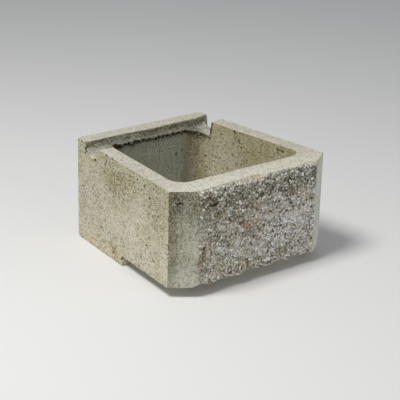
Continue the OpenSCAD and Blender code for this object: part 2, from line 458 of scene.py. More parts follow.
def block_distance(xs, ys, zs):
    """Signed distance of the whole block on the grid, negative inside the concrete."""
    x, y, z = xs[:, None, None], ys[None, :, None], zs[None, None, :]
    shape = worn_casting(x, y, z)
    rear = ys > GROOVE_Y - GROOVE_WIDTH / 2 - GROOVE_MARGIN
    upper = zs > TOP_Z - GROOVE_REACH
    region = np.ix_(np.ones(len(xs), bool), rear, upper)
    shape[region] = grooved(shape[region], x, y[:, rear], z[:, :, upper])
    near = ys < FRONT_Y + RELIEF_BAND + RELIEF_MARGIN
    shape[:, near] = np.maximum(shape[:, near], FRONT_Y + split_fall(x, z) - y[:, near])
    for pit in PITS + crack_pits() + WORN_CORNERS:
        span, gap, radius = local_distance((xs, ys, zs), pit)
        shape[span] = np.maximum(shape[span], radius - gap)
    for lump in LUMPS:
        span, gap, radius = local_distance((xs, ys, zs), lump)
        shape[span] = np.minimum(shape[span], gap - radius)
    return shape


def without_crumbs(field):
    """Turns lone samples of concrete, with air all around them, into air."""
    inside = field < 0
    joined = np.zeros_like(inside)
    for axis in range(3):
        for step in (-1, 1):
            joined |= np.roll(inside, step, axis)
    field[inside & ~joined] = SLIGHT_DISTANCE
    return field


def shifted(samples, step):
    """For every cell of the grid, the sample at one of its corners."""
    return samples[tuple(slice(s, n - 1 + s) for s, n in zip(step, samples.shape))]


def without_shared_edges(field):
    """Fills one corner wherever concrete touches only across a grid square's diagonal.

    There four faces would meet along one edge, and the mesh wouldn't be properly closed."""
    filled = True
    while filled:
        filled = False
        for u, v in UNIT_STEPS[[[0, 1], [1, 2], [2, 0]]]:
            square = (0 * u, u, u + v, v)
            a, b, c, d = (shifted(field < 0, step) for step in square)
            for at in np.argwhere((a == c) & (b == d) & (a != b)):
                outside = [tuple(at + step) for step in square if field[tuple(at + step)] >= 0]
                if len(outside) == 2:
                    field[min(outside, key=field.__getitem__)] = -SLIGHT_DISTANCE
                    filled = True
    return field


def crossing_means(field, xs, ys, zs, i, j, k):
    """For each of some grid cells, the mean of the places where its edges cross the surface."""
    values = [field[i + a, j + b, k + c] for a, b, c in CUBE_CORNERS]
    places = [np.stack((xs[i + a], ys[j + b], zs[k + c]), -1) for a, b, c in CUBE_CORNERS]
    total, crossings = np.zeros((len(i), 3)), np.zeros(len(i))
    for a, b in CUBE_EDGES:
        crosses = (values[a] < 0) != (values[b] < 0)
        t = values[a][crosses] / (values[a][crosses] - values[b][crosses])
        total[crosses] += places[a][crosses] + t[:, None] * (places[b][crosses] - places[a][crosses])
        crossings[crosses] += 1
    return total / crossings[:, None]


def faces_across(inside, number, axis):
    """A four-sided face around each grid edge along one axis that crosses the surface."""
    u, v = UNIT_STEPS[(axis + 1) % 3], UNIT_STEPS[(axis + 2) % 3]
    edge = np.argwhere(np.diff(inside, axis=axis))
    edge = edge[(edge @ u > 0) & (edge @ v > 0)]
    cells = [edge - u - v, edge - v, edge, edge - u]
    quad = np.stack([number[tuple(cell.T)] for cell in cells], -1)
    entering = ~inside[tuple(edge.T)]
    quad[entering] = quad[entering, ::-1]
    return quad


def surface_through(field, xs, ys, zs):
    """Vertices and four-sided faces of the surface where the field is zero (surface nets)."""
    inside = field < 0
    count = sum(shifted(inside, corner).astype(np.int8) for corner in CUBE_CORNERS)
    cells = np.nonzero((count > 0) & (count < 8))
    number = np.full(count.shape, -1, dtype=np.int64)
    number[cells] = np.arange(len(cells[0]))
    faces = np.concatenate([faces_across(inside, number, axis) for axis in range(3)])
    return crossing_means(field, xs, ys, zs, *cells), faces


def add_object(name, data):
    made = bpy.data.objects.new(name, data)
    bpy.context.scene.collection.objects.link(made)
    return made


def mesh_object(name, vertices, faces):
    mesh = bpy.data.meshes.new(name)
    mesh.from_pydata(vertices.tolist(), [], faces.tolist())
    mesh.update()
    return add_object(name, mesh)


def thin_out(made, share):
    """Replaces the object's mesh by one with a share of its triangles."""
    made.modifiers.new("thin", "DECIMATE").ratio = share
    graph = bpy.context.evaluated_depsgraph_get()
    finished = bpy.data.meshes.new_from_object(made.evaluated_get(graph))
    made.modifiers.clear()
    made.data = finished


def vertex_places(made):
    places = np.empty(len(made.data.vertices) * 3)
    made.data.vertices.foreach_get("co", places)
    return places.reshape(-1, 3)


def store(made, name, values):
    """Keeps one number for each vertex, for the material to read."""
    layer = made.data.attributes.new(name, "FLOAT", "POINT")
    layer.data.foreach_set("value", values.astype(np.float32))


# Patches of the split face, the pale ones partly painted light on facets that face up: place across and up
# and radius in millimetres, strength
PALE_PATCHES = ((-123, 172, 16, 0.6), (64, 106, 30, 0.7), (118, 137, 27, 0.9), (30, 165, 28, 0.4),
    (-100, 60, 35, 0.4), (-8, 92, 28, 0.8), (150, 75, 30, 0.5), (165, 262, 12, 0.7),
    (68, 203, 18, 0.9), (150, 259, 20, 1), (136, 208, 18, 0.4), (-130, 112, 18, 0.5),
    (58, 256, 22, 0.6), (-36, 256, 14, 0.4), (-136, 257, 13, 0.4), (-170, 258, 12, 0.6),
    (-68, 257, 14, 0.5), (168, 180, 20, 1.1), (50, 185, 22, 0.5), (-102, 195, 14, 0.5))
DARK_PATCHES = ((-144, 238, 20, 0.5), (-79, 231, 26, 0.3), (0, 230, 20, 0.4), (177, 248, 14, 0.7),
    (-130, 191, 25, 0.7), (-170, 240, 16, 0.5), (-62, 179, 24, 0.65), (-105, 150, 22, 0.8),
    (-34, 160, 18, 0.3), (95, 175, 20, 0.5), (80, 55, 24, 0.45), (-178, 100, 22, 1),
    (172, 155, 16, 0.5), (-34, 52, 18, 0.4), (102, 112, 14, 0.6), (102, 218, 20, 0.6),
    (143, 234, 18, 0.8), (-102, 217, 18, 0.4), (-136, 145, 20, 0.7), (68, 236, 14, 0.5),
    (-68, 75, 18, 0.2))
RUSTY_PATCHES = ((-118, 202, 16, 0.9), (-37, 149, 22, 0.9), (108, 215, 16, 0.9),
    (135, 203, 14, 0.8), (-176, 125, 24, 1), (-45, 55, 16, 0.9), (107, 118, 14, 0.7),
    (-180, 85, 20, 1), (85, 55, 22, 0.8))


def patches(places, x, z):
    """The summed strength of soft round patches with wandering outlines."""
    u = x / MM + 9 * noise(83, 0.02, 3, x, z)
    v = z / MM + 9 * noise(84, 0.02, 3, x, z)
    return sum(strength * np.exp(-((u - across) ** 2 + (v - up) ** 2) / radius ** 2)
               for across, up, radius, strength in places)


def split_tone(x, z):
    """How pale, from -1 to 1, and how rusty, from 0 to 1, the split face is at a place: the tone holds
    painted shade in the hollows and the pale patches' painted light.
    """
    tone = 0.55 * noise(81, 0.05, 4, x, z) + 0.4 * noise(85, 0.016, 2, x, z)
    # The pale patches are partly painted light on facets that face up
    tone = tone + patches(PALE_PATCHES, x, z) - patches(DARK_PATCHES, x, z)
    tone = tone - 0.72 * ease(0.165, 0.24, z) + 0.36
    # Painted shade: darker in the split face's hollows
    tone = tone - 0.9 * (split_hollows(x, z) / (3 * MM) - 0.15).clip(-0.4, 1)
    rust = patches(RUSTY_PATCHES, x, z) + 0.6 * ease(0.1, 0.6, noise(82, 0.06, 4, x, z))
    rust = rust + 0.16 * (1 - ease(0.02, 0.09, x))
    return np.clip(tone, -1, 1), np.clip(rust, 0, 1)


def pit_mark(x, y, z):
    """1 in the single pits and the crack, 0 around them."""
    mark = np.zeros(len(x))
    for spot in PITS + crack_pits():
        *place, radius = (value * MM for value in spot)
        inwards = 2 * radius - np.linalg.norm(np.stack((x, y, z), -1) - place, axis=1)
        mark = np.maximum(mark, ease(0.74 * radius, 1.04 * radius, inwards))
    return mark


def painted_ledge_shadow_mark(x, y, z):
    """Painted shadow: the dark line on the cavity's wall under the groove's ledge, wider near both its
    ends.
    """
    width = 10.5 + 5 * noise(95, 0.009, 3, x, y)
    for widening, middle, half in ((8.5, 0.142, 0.024), (5.0, -0.112, 0.014)):
        width = width + widening * np.exp(-((x - middle) / half) ** 2)
    to_ledge = np.hypot(cavity(x, y), groove(x, y, z))
    on_wall = (y > GROOVE_Y - 0.02) * (groove(x, y, z) > 0.6 * MM) * (cavity(x, y) < 3 * MM)
    blackness = 0.92 + 0.08 * ease(0.09, 0.12, x)
    return blackness * on_wall * ease(0, 8 * MM, width * MM - to_ledge)


def mark_places(made):
    """Marks, for the material, what is broken, inside, grooved or crumbled, and the split's tones."""
    x, y, z = vertex_places(made).T
    broken = ease(1.3 * MM, 2.1 * MM, -cast_skin(x, y, z))
    store(made, "broken", broken * (y < CHEEK_Y))
    store(made, "chipped", broken * (y >= CHEEK_Y))
    below_top = ease(0.6 * MM, 2.4 * MM, TOP_Z - z)
    store(made, "inside", (np.abs(cavity(x, y)) < 3 * MM) * below_top)
    store(made, "grooved", (groove(x, y, z) < 3 * MM) * below_top)
    store(made, "crumbled", ease(0.0, 0.35, worn_top(x, z)[1]) * (y < DAMAGE_END_Y))
    store(made, "pit", pit_mark(x, y, z))
    # The painted shadow under the ledge, for the material to darken
    store(made, "painted_ledge_shadow", painted_ledge_shadow_mark(x, y, z))
    for name, values in zip(("tone", "rust"), split_tone(x, z)):
        store(made, name, values)


def cast_block():
    """The whole casting as one closed mesh."""
    xs, ys, zs = grid_lines()
    field = without_shared_edges(without_crumbs(block_distance(xs, ys, zs)))
    vertices, faces = surface_through(field, xs, ys, zs)
    made = mesh_object("cast_block", vertices, faces)
    thin_out(made, TRIANGLE_BUDGET / (2 * len(faces)))
    made.data.polygons.foreach_set("use_smooth", np.ones(len(made.data.polygons), bool))
    mark_places(made)
    made.data.update()
    return made


# ---- Crushed stone that the split lays bare ----
# The share of the stones that has each colour, and the colour
STONE_COLOURS = (
    (0.38, (0.97, 0.955, 0.92)), (0.08, (0.62, 0.595, 0.55)), (0.14, (0.37, 0.345, 0.265)),
    (0.05, (0.3, 0.24, 0.165)), (0.07, (0.55, 0.5, 0.375)), (0.28, (0.038, 0.035, 0.027)))
WHITE_KIND, DARK_KIND = 0, 5
# White crumbs at the upper left corner of the split, in millimetres: place across and up, radius
CRUMBS = ((-180.5, 270, 3.6), (-186.5, 265.5, 2.8), (-175.5, 257.5, 2.6), (-153, 269.5, 2.6),
    (-137.5, 256, 3), (-121.5, 240, 2.5), (-70.5, 219.5, 2.6), (-168, 271, 2.4), (-113.5, 270, 2.2),
    (-149, 264, 2.3))
CRUMB_COLOUR = (0.93, 0.91, 0.84)
# Of the stones that are tried, those stay that have a clear place
STONE_SEED, STONE_COUNT = 7, 14200
STONE_MEAN = 1.58 * MM


def stone_shape():
    """The corners and faces of one plain stone: an icosahedron of radius 1."""
    shape = bmesh.new()
    bmesh.ops.create_icosphere(shape, subdivisions=1, radius=1)
    corners = np.array([v.co[:] for v in shape.verts])
    sides = np.array([[v.index for v in face.verts] for face in shape.faces])
    shape.free()
    return corners, sides


def random_turns(random, count):
    """Random rotation matrices, from random quaternions."""
    turns = [Quaternion(turn).normalized().to_matrix() for turn in random.normal(size=(count, 4))]
    return np.array(turns)


def stone_places(random):
    """Middles and radii of the stones on the split face: fewest where it is dark or crumbled."""
    x = random.uniform(-SPLIT_HALF_WIDTH, SPLIT_HALF_WIDTH, STONE_COUNT)
    z = random.uniform(UNDERSIDE_Z + 3 * MM, TOP_Z - 3 * MM, STONE_COUNT)
    radius = STONE_MEAN * np.exp(random.normal(0, 0.5, STONE_COUNT)).clip(0.5, 2.7)
    sunk = random.uniform(-0.1, 0.5, STONE_COUNT)
    crumbs = slice(len(CRUMBS))
    x[crumbs], z[crumbs], radius[crumbs] = MM * np.transpose(CRUMBS)
    sunk[crumbs] = -0.5
    centre = np.stack((x, FRONT_Y + split_fall(x, z) + sunk * radius, z), -1)
    clear = (z > UNDERSIDE_Z + lower_edge_lift(x) + radius) & (z < TOP_Z - radius)
    clear &= cheek_faces(x, centre[:, 1]) < -0.3 * radius
    clear &= worn_top(x, z)[1] < random.uniform(0.0, 1.1, STONE_COUNT) - 0.5 * most_worn(x)
    clear &= split_tone(x, z)[0] > random.uniform(-1.3, -0.2, STONE_COUNT)
    clear &= noise(86, 0.022, 2, x, z) > random.uniform(-0.9, 0.25, STONE_COUNT)
    clear &= np.hypot((x - CRACK_MIDDLE[0]) / CRACK_CLEAR[0], (z - CRACK_MIDDLE[1]) / CRACK_CLEAR[1]) > 1
    clear[crumbs] = True
    return centre[clear], radius[clear]


def stone_corners(random, centre, radius, corners):
    """Each stone's corners: one plain shape, made uneven, stretched, turned and put in its place."""
    count = len(radius)
    shapes = corners[None] * random.uniform(0.72, 1.12, (count, len(corners), 1))
    shapes = shapes * random.uniform(0.45, 1.4, (count, 1, 3))
    shapes = np.einsum("nij,nkj->nki", random_turns(random, count), shapes)
    placed = centre[:, None] + shapes * radius[:, None, None]
    placed[..., 1] = np.maximum(placed[..., 1], FRONT_Y + 0.02 * MM)
    return placed


def stone_colours(random, kind, x, z):
    """Each stone's colour: that of its kind, varied a little, with the split face's tone and rust."""
    colours = np.array([colour for _, colour in STONE_COLOURS])[kind]
    count = len(kind)
    colours = colours * random.uniform(0.8, 1.2, (count, 1)) * random.uniform(0.96, 1.04, (count, 3))
    tone, rust = split_tone(x, z)
    # The tone's painted shade and painted light reach the stones too
    colours = colours * (1 + 0.4 * tone[:, None]) * (1 - rust[:, None] * (0.14, 0.22, 0.33))
    colours[:len(CRUMBS)] = CRUMB_COLOUR
    return colours.clip(0, 0.97)


def bare_stones():
    """Small angular stones, half sunk in the split face, as one joined mesh."""
    random = np.random.default_rng(STONE_SEED)
    corners, sides = stone_shape()
    centre, radius = stone_places(random)
    count = len(radius)
    shares = np.array([share for share, _ in STONE_COLOURS])
    kind = random.choice(len(shares), count, p=shares / shares.sum())
    kind[:len(CRUMBS)] = WHITE_KIND
    radius = np.where(kind == DARK_KIND, 0.85, 1.0) * radius
    vertices = stone_corners(random, centre, radius, corners)
    faces = sides[None] + (np.arange(count) * len(corners))[:, None, None]
    made = mesh_object("bare_stones", vertices.reshape(-1, 3), faces.reshape(-1, 3))
    colours = stone_colours(random, kind, centre[:, 0], centre[:, 2])
    rgba = np.concatenate((colours, np.ones((count, 1))), -1).repeat(len(corners), 0)
    layer = made.data.attributes.new("stone_colour", "FLOAT_COLOR", "POINT")
    layer.data.foreach_set("color", rgba.astype(np.float32).ravel())
    return made


# ---- Materials ----
# How far one pattern lies from the next
PATTERN_SHIFT = (1.37, 2.71, 0.83)


def new_material(name, roughness):
    made = bpy.data.materials.new(name)
    made.use_nodes = True
    shader = made.node_tree.nodes["Principled BSDF"]
    shader.inputs["Roughness"].default_value = roughness
    return made, shader


class Surface:
    """A material and the nodes that paint it. Sizes are in metres on the block."""

    def __init__(self, name, roughness, specular):
        self.material, self.shader = new_material(name, roughness)
        self.shader.inputs["Specular IOR Level"].default_value = specular
        self.tree = self.material.node_tree
        self.place = self.node("TexCoord")["Object"]
        self.x, self.y, self.z = self.split(self.place)
        self.facing = self.split(self.node("NewGeometry")["Normal"])
        self.patterns = 0
        self.colour = None

    def node(self, kind, inputs=(), **settings):
        """The outputs of a new shader node with the given inputs and settings."""
        made = self.tree.nodes.new("ShaderNode" + kind)
        for name, value in settings.items():
            setattr(made, name, value)
        for key, value in inputs:
            if isinstance(value, bpy.types.NodeSocket):
                self.tree.links.new(value, made.inputs[key])
            elif made.inputs[key].type == "RGBA":
                made.inputs[key].default_value = (*value, 1)
            else:
                made.inputs[key].default_value = value
        return made.outputs

    def split(self, vector):
        return self.node("SeparateXYZ", ((0, vector),))

    def maths(self, operation, first, *others):
        """Takes numbers together by one operation, from left to right."""
        for other in others:
            inputs = ((0, first), (1, other))
            first = self.node("Math", inputs, operation=operation)[0]
        return first

    times = partialmethod(maths, "MULTIPLY")
    plus = partialmethod(maths, "ADD")
    highest = partialmethod(maths, "MAXIMUM")

    def outside(self, mark):
        """1 where the mark is 0, and 0 where it is 1."""
        return self.maths("SUBTRACT", 1.0, mark)

    def vector(self, operation, *values):
        return self.node("VectorMath", enumerate(values), operation=operation)

    def ramp(self, value, low, high, start=0.0, end=1.0):
        """start below low, end above high, and smooth between them."""
        inputs = (("Value", value), ("From Min", low), ("From Max", high),
                  ("To Min", start), ("To Max", end))
        return self.node("MapRange", inputs, interpolation_type="SMOOTHSTEP")[0]

    def fall(self, value, low, high):
        """1 below low, 0 above high."""
        return self.ramp(value, low, high, 1.0, 0.0)

    def blend(self, share, a, b, kind="MIX"):
        """Colour a where share is 0 and colour b where it is 1."""
        inputs = ((0, share), (6, a), (7, b))
        return self.node("Mix", inputs, data_type="RGBA", blend_type=kind)[2]

    def cover(self, colour, *shares):
        """Covers the colour so far by another one, where the product of the shares is 1."""
        self.colour = self.blend(self.times(*shares), self.colour, colour)

    def stain(self, tint, *shares):
        """Multiplies the colour so far by a tint, where the product of the shares is 1."""
        self.colour = self.blend(self.times(*shares), self.colour, tint, "MULTIPLY")

    def moved(self, stretch):
        """Places on the block, stretched and shifted so that no two patterns agree."""
        self.patterns += 1
        shift = tuple(self.patterns * step for step in PATTERN_SHIFT)
        return self.vector("MULTIPLY_ADD", self.place, stretch, shift)["Vector"]

    def noise(self, size, detail=3.0, stretch=(1, 1, 1), roughness=0.5):
        inputs = (("Vector", self.moved(stretch)), ("Scale", 1 / size), ("Detail", detail),
                  ("Roughness", roughness))
        return self.node("TexNoise", inputs)[0]

    def spots(self, low, high, *noise, **more):
        """1 where a noise is high, 0 where it is low."""
        return self.ramp(self.noise(*noise, **more), low, high)

    def two_tones(self, size, first, second, detail=3.0):
        """Large soft areas of two colours."""
        return self.blend(self.spots(0.38, 0.62, size, detail), first, second)

    def wander(self, place, reach, *noise, **more):
        """A place moved by a noise, for borders that aren't straight."""
        return self.plus(place, self.times(self.noise(*noise, **more), reach))

    def cells(self, size, stretch=(1, 1, 1)):
        inputs = (("Vector", self.moved(stretch)), ("Scale", 1 / size))
        return self.node("TexVoronoi", inputs)

    def mark(self, name):
        return self.node("Attribute", attribute_name=name)["Fac"]

    def patch(self, centre, half_sizes, ragged=0.5, soft=0.6):
        """1 in the middle of a stain with an uneven outline, 0 outside it."""
        offset = self.vector("SUBTRACT", self.place, centre)["Vector"]
        reach = self.vector("LENGTH", self.vector("DIVIDE", offset, half_sizes)["Vector"])["Value"]
        uneven = self.maths("SUBTRACT", self.noise(min(half_sizes) * 1.2), 0.5)
        return self.fall(self.plus(reach, self.times(uneven, 2 * ragged)), 1 - soft, 1 + soft)

    def finish(self, *heights):
        """Heights are (height from 0 to 1, depth in metres), finest last."""
        before = ()
        for height, depth in heights:
            inputs = (("Strength", 1.0), ("Distance", depth), ("Height", height), *before)
            before = (("Normal", self.node("Bump", inputs)[0]),)
        self.tree.links.new(before[0][1], self.shader.inputs["Normal"])
        self.tree.links.new(self.colour, self.shader.inputs["Base Color"])
        return self.material


def mottled(paint, share, size, stretch, dark, pale):
    """Specks and blots of weathered cement, darker and paler than the colour around them."""
    coarse = paint.noise(size, 4.0, stretch, 0.7)
    fine = paint.noise(size * 0.6, 2.0, stretch, 0.6)
    paint.stain(dark, share, paint.ramp(coarse, 0.46, 0.68))
    paint.cover(pale, share, paint.ramp(fine, 0.5, 0.72), 0.65)
    paint.stain(dark, share, paint.fall(fine, 0.26, 0.46))


def side_colour(paint):
    """Sandy grey, darker high up, in large soft areas."""
    low = paint.two_tones(0.09, (0.705, 0.668, 0.515), (0.745, 0.708, 0.57))
    high = paint.two_tones(0.07, (0.535, 0.5, 0.35), (0.585, 0.56, 0.425))
    return paint.blend(paint.ramp(paint.wander(paint.z, 0.12, 0.08), 0.19, 0.31), low, high)


def top_colour(paint):
    """Paler than the sides: darker behind the front edge, and yellower at the front right."""
    paint.colour = paint.two_tones(0.03, (0.66, 0.645, 0.56), (0.715, 0.69, 0.61), 4.0)
    paint.stain((0.96, 0.97, 0.9), paint.spots(0.55, 0.68, 0.06), 0.6)
    paint.stain((0.85, 0.835, 0.805), paint.ramp(paint.y, -0.215, -0.155))
    at_front, at_right = paint.fall(paint.y, -0.19, -0.15), paint.ramp(paint.x, 0.02, 0.1)
    paint.stain((1.0, 0.985, 0.945), at_right, at_front)
    return paint.colour


# Soft darker areas of the left side: middle, half sizes, tint
SIDE_SHADES = (((-0.215, 0.175, 0.125), (0.05, 0.11, 0.055), (0.89, 0.885, 0.875)),
               ((-0.228, 0.07, 0.185), (0.05, 0.055, 0.035), (0.89, 0.87, 0.83)),
               ((-0.245, -0.15, 0.17), (0.05, 0.04, 0.07), (0.91, 0.895, 0.86)))
# Yellow streaks near the nose: the middle of each, and the half sizes of all
STREAKS = (-0.2225, 0.067, 0.04), (-0.224, 0.055, 0.029), (-0.2255, 0.042, 0.017)
STREAK_SIZES = (0.03, 0.0085, 0.0095)


def side_stains(paint):
    """Brown mottling high on the sides, and yellow streaks near the nose."""
    brown = paint.patch((-0.228, 0.022, 0.222), (0.05, 0.065, 0.03), 0.7)
    paint.stain((0.7, 0.6, 0.4), brown, paint.spots(0.38, 0.6, 0.0065, 4.0, roughness=0.7))
    for centre, half, tint in SIDE_SHADES:
        paint.stain(tint, paint.patch(centre, half, 0.5, 0.7))
    paint.stain((0.84, 0.8, 0.68), paint.spots(0.5, 0.66, 0.045, 4.0), 0.55)
    foot = paint.patch((-0.217, 0.15, 0.01), (0.03, 0.13, 0.03), 0.6)
    paint.cover((0.78, 0.69, 0.52), foot, 0.75)
    bruise = paint.patch((-0.219, 0.095, 0.264), (0.03, 0.016, 0.0065), 0.6)
    paint.stain((0.78, 0.72, 0.68), bruise)
    streaks = [paint.patch(centre, STREAK_SIZES, 0.35) for centre in STREAKS]
    paint.stain((0.72, 0.62, 0.42), paint.highest(*streaks))


def speckles(paint):
    """Dark grains that show through the cement skin of the sides, mostly in clusters."""
    brown = paint.patch((-0.227, 0.025, 0.225), (0.06, 0.07, 0.035), 0.6)
    front = paint.patch((-0.245, -0.17, 0.17), (0.06, 0.03, 0.07), 0.6)
    cluster = paint.highest(brown, front, paint.spots(0.46, 0.64, 0.035, 4.0))
    grains = paint.spots(0.55, 0.66, 0.0055, 3.0, (1, 0.62, 1), 0.65)
    paint.stain((0.48, 0.43, 0.33), grains, paint.ramp(cluster, 0, 1, 0.2, 1.0))


def cheek_stains(paint):
    """Grey-green cheeks, streaked upright. Returns both cheeks' mark and the left one's."""
    ahead = paint.fall(paint.y, CHEEK_Y + 0.001, CHEEK_Y + 0.004)
    cheek = paint.times(paint.fall(paint.facing[1], -0.72, -0.6), ahead)
    at_left = paint.fall(paint.x, -0.1, 0.1)
    paint.cover(paint.blend(at_left, (0.7, 0.71, 0.65), (0.575, 0.562, 0.458)), cheek)
    streaks = paint.spots(0.42, 0.62, 0.005, 3.0, (1, 1, 0.14), 0.6)
    paint.stain((0.72, 0.72, 0.665), cheek, streaks, paint.ramp(at_left, 0, 1, 0.5, 1.0))
    scratches = paint.spots(0.56, 0.66, 0.007, 3.0, (0.3, 0.3, 1.6), 0.6)
    paint.stain((0.78, 0.77, 0.7), cheek, scratches, 0.6)
    return cheek, paint.times(cheek, at_left)


def left_cheek_stains(paint, cheek, left):
    """The left cheek is dark at the top, brown along its outer edge and paler low down."""
    height = paint.wander(paint.z, 0.085, 0.022, 4.0, roughness=0.65)
    blotted = paint.ramp(paint.noise(0.006, 4.0, roughness=0.7), 0.38, 0.62, 0.45, 1.0)
    lower = paint.times(left, paint.fall(paint.z, 0.045, 0.095))
    paint.cover((0.64, 0.625, 0.525), lower)
    inner = paint.patch((-0.193, -0.244, 0.135), (0.022, 0.02, 0.03), 0.4)
    paint.cover((0.71, 0.7, 0.6), cheek, inner, 0.55)
    paint.stain((0.78, 0.77, 0.74), lower, paint.ramp(paint.y, CHEEK_Y - 0.02, CHEEK_Y - 0.004))
    paint.stain((0.86, 0.85, 0.83), left, paint.ramp(paint.z, 0.12, 0.165), blotted)
    dark_top = paint.ramp(height, 0.22, 0.29), paint.ramp(paint.z, 0.258, 0.268, 1.0, 0.6)
    paint.stain((0.36, 0.345, 0.28), left, blotted, *dark_top)
    edge = paint.wander(paint.y, 0.03, 0.016, 4.0, roughness=0.7)
    brown = paint.ramp(edge, CHEEK_Y - 0.006, CHEEK_Y + 0.008), paint.ramp(paint.z, 0.01, 0.1)
    paint.stain((0.5, 0.44, 0.36), left, blotted, *brown)


def cavity_stains_light_and_shade(paint, inside):
    """Olive-grey walls, with brown runs in the far right corner, painted light on the right wall, painted
    shade high on the rear wall, and a painted shadow as a dark line under the ledge.
    """
    border = paint.wander(paint.x, 0.03, 0.02, 2.0, (1, 1, 0.2))
    walls = paint.blend(paint.ramp(border, 0.135, 0.185), (0.43, 0.435, 0.36), (0.5, 0.455, 0.275))
    fan = paint.patch((0.03, 0.193, 0.17), (0.06, 0.05, 0.07))
    walls = paint.blend(paint.times(fan, 0.5), walls, (0.49, 0.5, 0.43))
    # Painted light: a paler patch on the right wall, which faces the main light
    painted_light_patch = paint.patch((0.172, 0.11, 0.165), (0.05, 0.07, 0.075))
    paint.cover(paint.blend(paint.times(painted_light_patch, 0.85), walls, (0.665, 0.625, 0.46)), inside)
    runs = paint.noise(0.008, 3.0, (1, 1, 0.12), 0.6)
    paint.stain((0.72, 0.7, 0.62), inside, paint.ramp(runs, 0.45, 0.68), 0.6)
    corner = paint.patch((0.131, 0.19, 0.16), (0.03, 0.06, 0.4), 0.4)
    paint.stain((0.76, 0.69, 0.585), inside, corner, paint.ramp(runs, 0.3, 0.66, 0.65, 1.0))
    # Painted shade high on the rear wall, left of the middle, under the ledge
    shade = paint.ramp(paint.y, 0.17, 0.19), paint.ramp(paint.z, 0.212, 0.25)
    paint.stain((0.78, 0.77, 0.76), inside, *shade, paint.fall(paint.x, 0.03, 0.09))
    # Painted shadow: the dark line under the ledge
    paint.stain((0.165, 0.15, 0.08), paint.mark("painted_ledge_shadow"))


def groove_painted_shade(paint, grooved, steep):
    """Painted shade in the groove: strongest on its steep faces, which face away from the main light, a
    little weaker on its floor, much weaker on the floor of its left end, and less on the upward floor of
    its right end, where the light falls.
    """
    groove_shade_share = paint.highest(steep, paint.ramp(paint.x, -0.17, -0.125, 0.42, 0.88))
    blots = paint.ramp(paint.noise(0.008, 4.0, (0.7, 1, 1), 0.7), 0.34, 0.66, 0.66, 1.0)
    floor = paint.times(paint.ramp(paint.x, 0.145, 0.185), paint.ramp(paint.facing[2], 0.6, 0.85))
    less_shade_at_right_end = paint.ramp(paint.x, 0.13, 0.19, 1.0, 0.8), paint.ramp(floor, 0, 1, 1.0, 0.45)
    # Painted shade, in blots
    paint.stain((0.18, 0.185, 0.165), grooved, groove_shade_share, blots, *less_shade_at_right_end)


def crusts(paint, grooved, steep):
    """Pale crusts at the groove's right end and on the left side, and a rusty spot on the lip."""
    crust = paint.times(paint.patch((0.173, 0.171, 0.24), (0.011, 0.017, 0.0075)), 0.6)
    lumps = paint.times(paint.patch((-0.213, 0.161, 0.2465), (0.02, 0.018, 0.0075), 0.7), 0.8)
    crumbly = paint.ramp(paint.noise(0.0045), 0.38, 0.54, 0.6, 1.0)
    paint.cover((0.76, 0.69, 0.52), paint.highest(crust, lumps), crumbly)
    rust = paint.patch((0.072, 0.205, 0.268), (0.017, 0.05, 0.007), 0.6)
    paint.stain((0.78, 0.64, 0.64), grooved, steep, rust)


def weathering(paint, on_sides, top):
    """Mottling of the sides, weaker in their calm middle, and of the top."""
    uneven = paint.ramp(paint.noise(0.05), 0.36, 0.6, 0.62, 1.1)
    calm = paint.patch((-0.238, -0.02, 0.1), (0.06, 0.1, 0.055), 0.6)
    on_sides = paint.times(on_sides, uneven, paint.ramp(calm, 0, 1, 1.0, 0.72))
    mottled(paint, on_sides, 0.0062, (1, 0.62, 1), (0.37, 0.35, 0.28), (0.84, 0.82, 0.72))
    mottled(paint, paint.times(top, 0.9), 0.006, (1, 1, 1), (0.58, 0.56, 0.5), (0.84, 0.82, 0.77))


def pores(paint, size, share, stretch=(1, 1, 1)):
    """1 in scattered small holes left by air bubbles, 0 around them."""
    cells = paint.cells(size, stretch)
    chosen = paint.ramp(paint.split(cells["Color"])[0], 1 - share - 0.02, 1 - share + 0.02)
    return paint.times(chosen, paint.fall(cells["Distance"], 0.14, 0.3))


# Grains in the broken mortar: where their share begins and ends, strength, colour
MORTAR_GRAINS = ((0.7, 0.76, 0.8, (0.8, 0.78, 0.75)), (0.76, 0.82, 0.85, (0.1, 0.09, 0.07)),
                 (0.8, 0.84, 0.7, (0.4, 0.33, 0.24)))


def mortar_colour(paint):
    """Rough mortar between the bare stones: brown-grey, rusty in places, and dark in its hollows, as
    painted shade from the tone.
    """
    paint.colour = paint.two_tones(0.008, (0.255, 0.235, 0.172), (0.43, 0.395, 0.3), 4.0)
    chances = paint.split(paint.cells(0.0042)["Color"])
    for chance, (low, high, strength, colour) in zip(chances, MORTAR_GRAINS):
        paint.cover(colour, paint.ramp(chance, low, high), strength)
    # The tone brings painted shade into the hollows and the painted light of the pale patches
    tone = paint.mark("tone")
    paint.stain((0.46, 0.46, 0.4), paint.fall(tone, -1.0, 0.1))
    paint.cover((0.78, 0.765, 0.74), paint.ramp(tone, 0.1, 1.0, 0.0, 0.4))
    paint.stain((0.86, 0.76, 0.62), paint.mark("rust"))


def broken_colour(paint):
    """The mortar of the split face, and the paler crumbled edge of the top, beige where worst."""
    mortar_colour(paint)
    blots = paint.spots(0.42, 0.6, 0.004, 4.0)
    pale = paint.blend(blots, (0.38, 0.37, 0.29), (0.7, 0.685, 0.59))
    beige = paint.blend(blots, (0.37, 0.325, 0.235), (0.63, 0.575, 0.465))
    worst = paint.patch((WORN_PLACE, FRONT_Y, TOP_Z), (WORN_HALF * 1.3, 0.05, 0.05), 0.3)
    paint.cover(paint.blend(worst, pale, beige), paint.mark("crumbled"), 0.85)
    return paint.colour


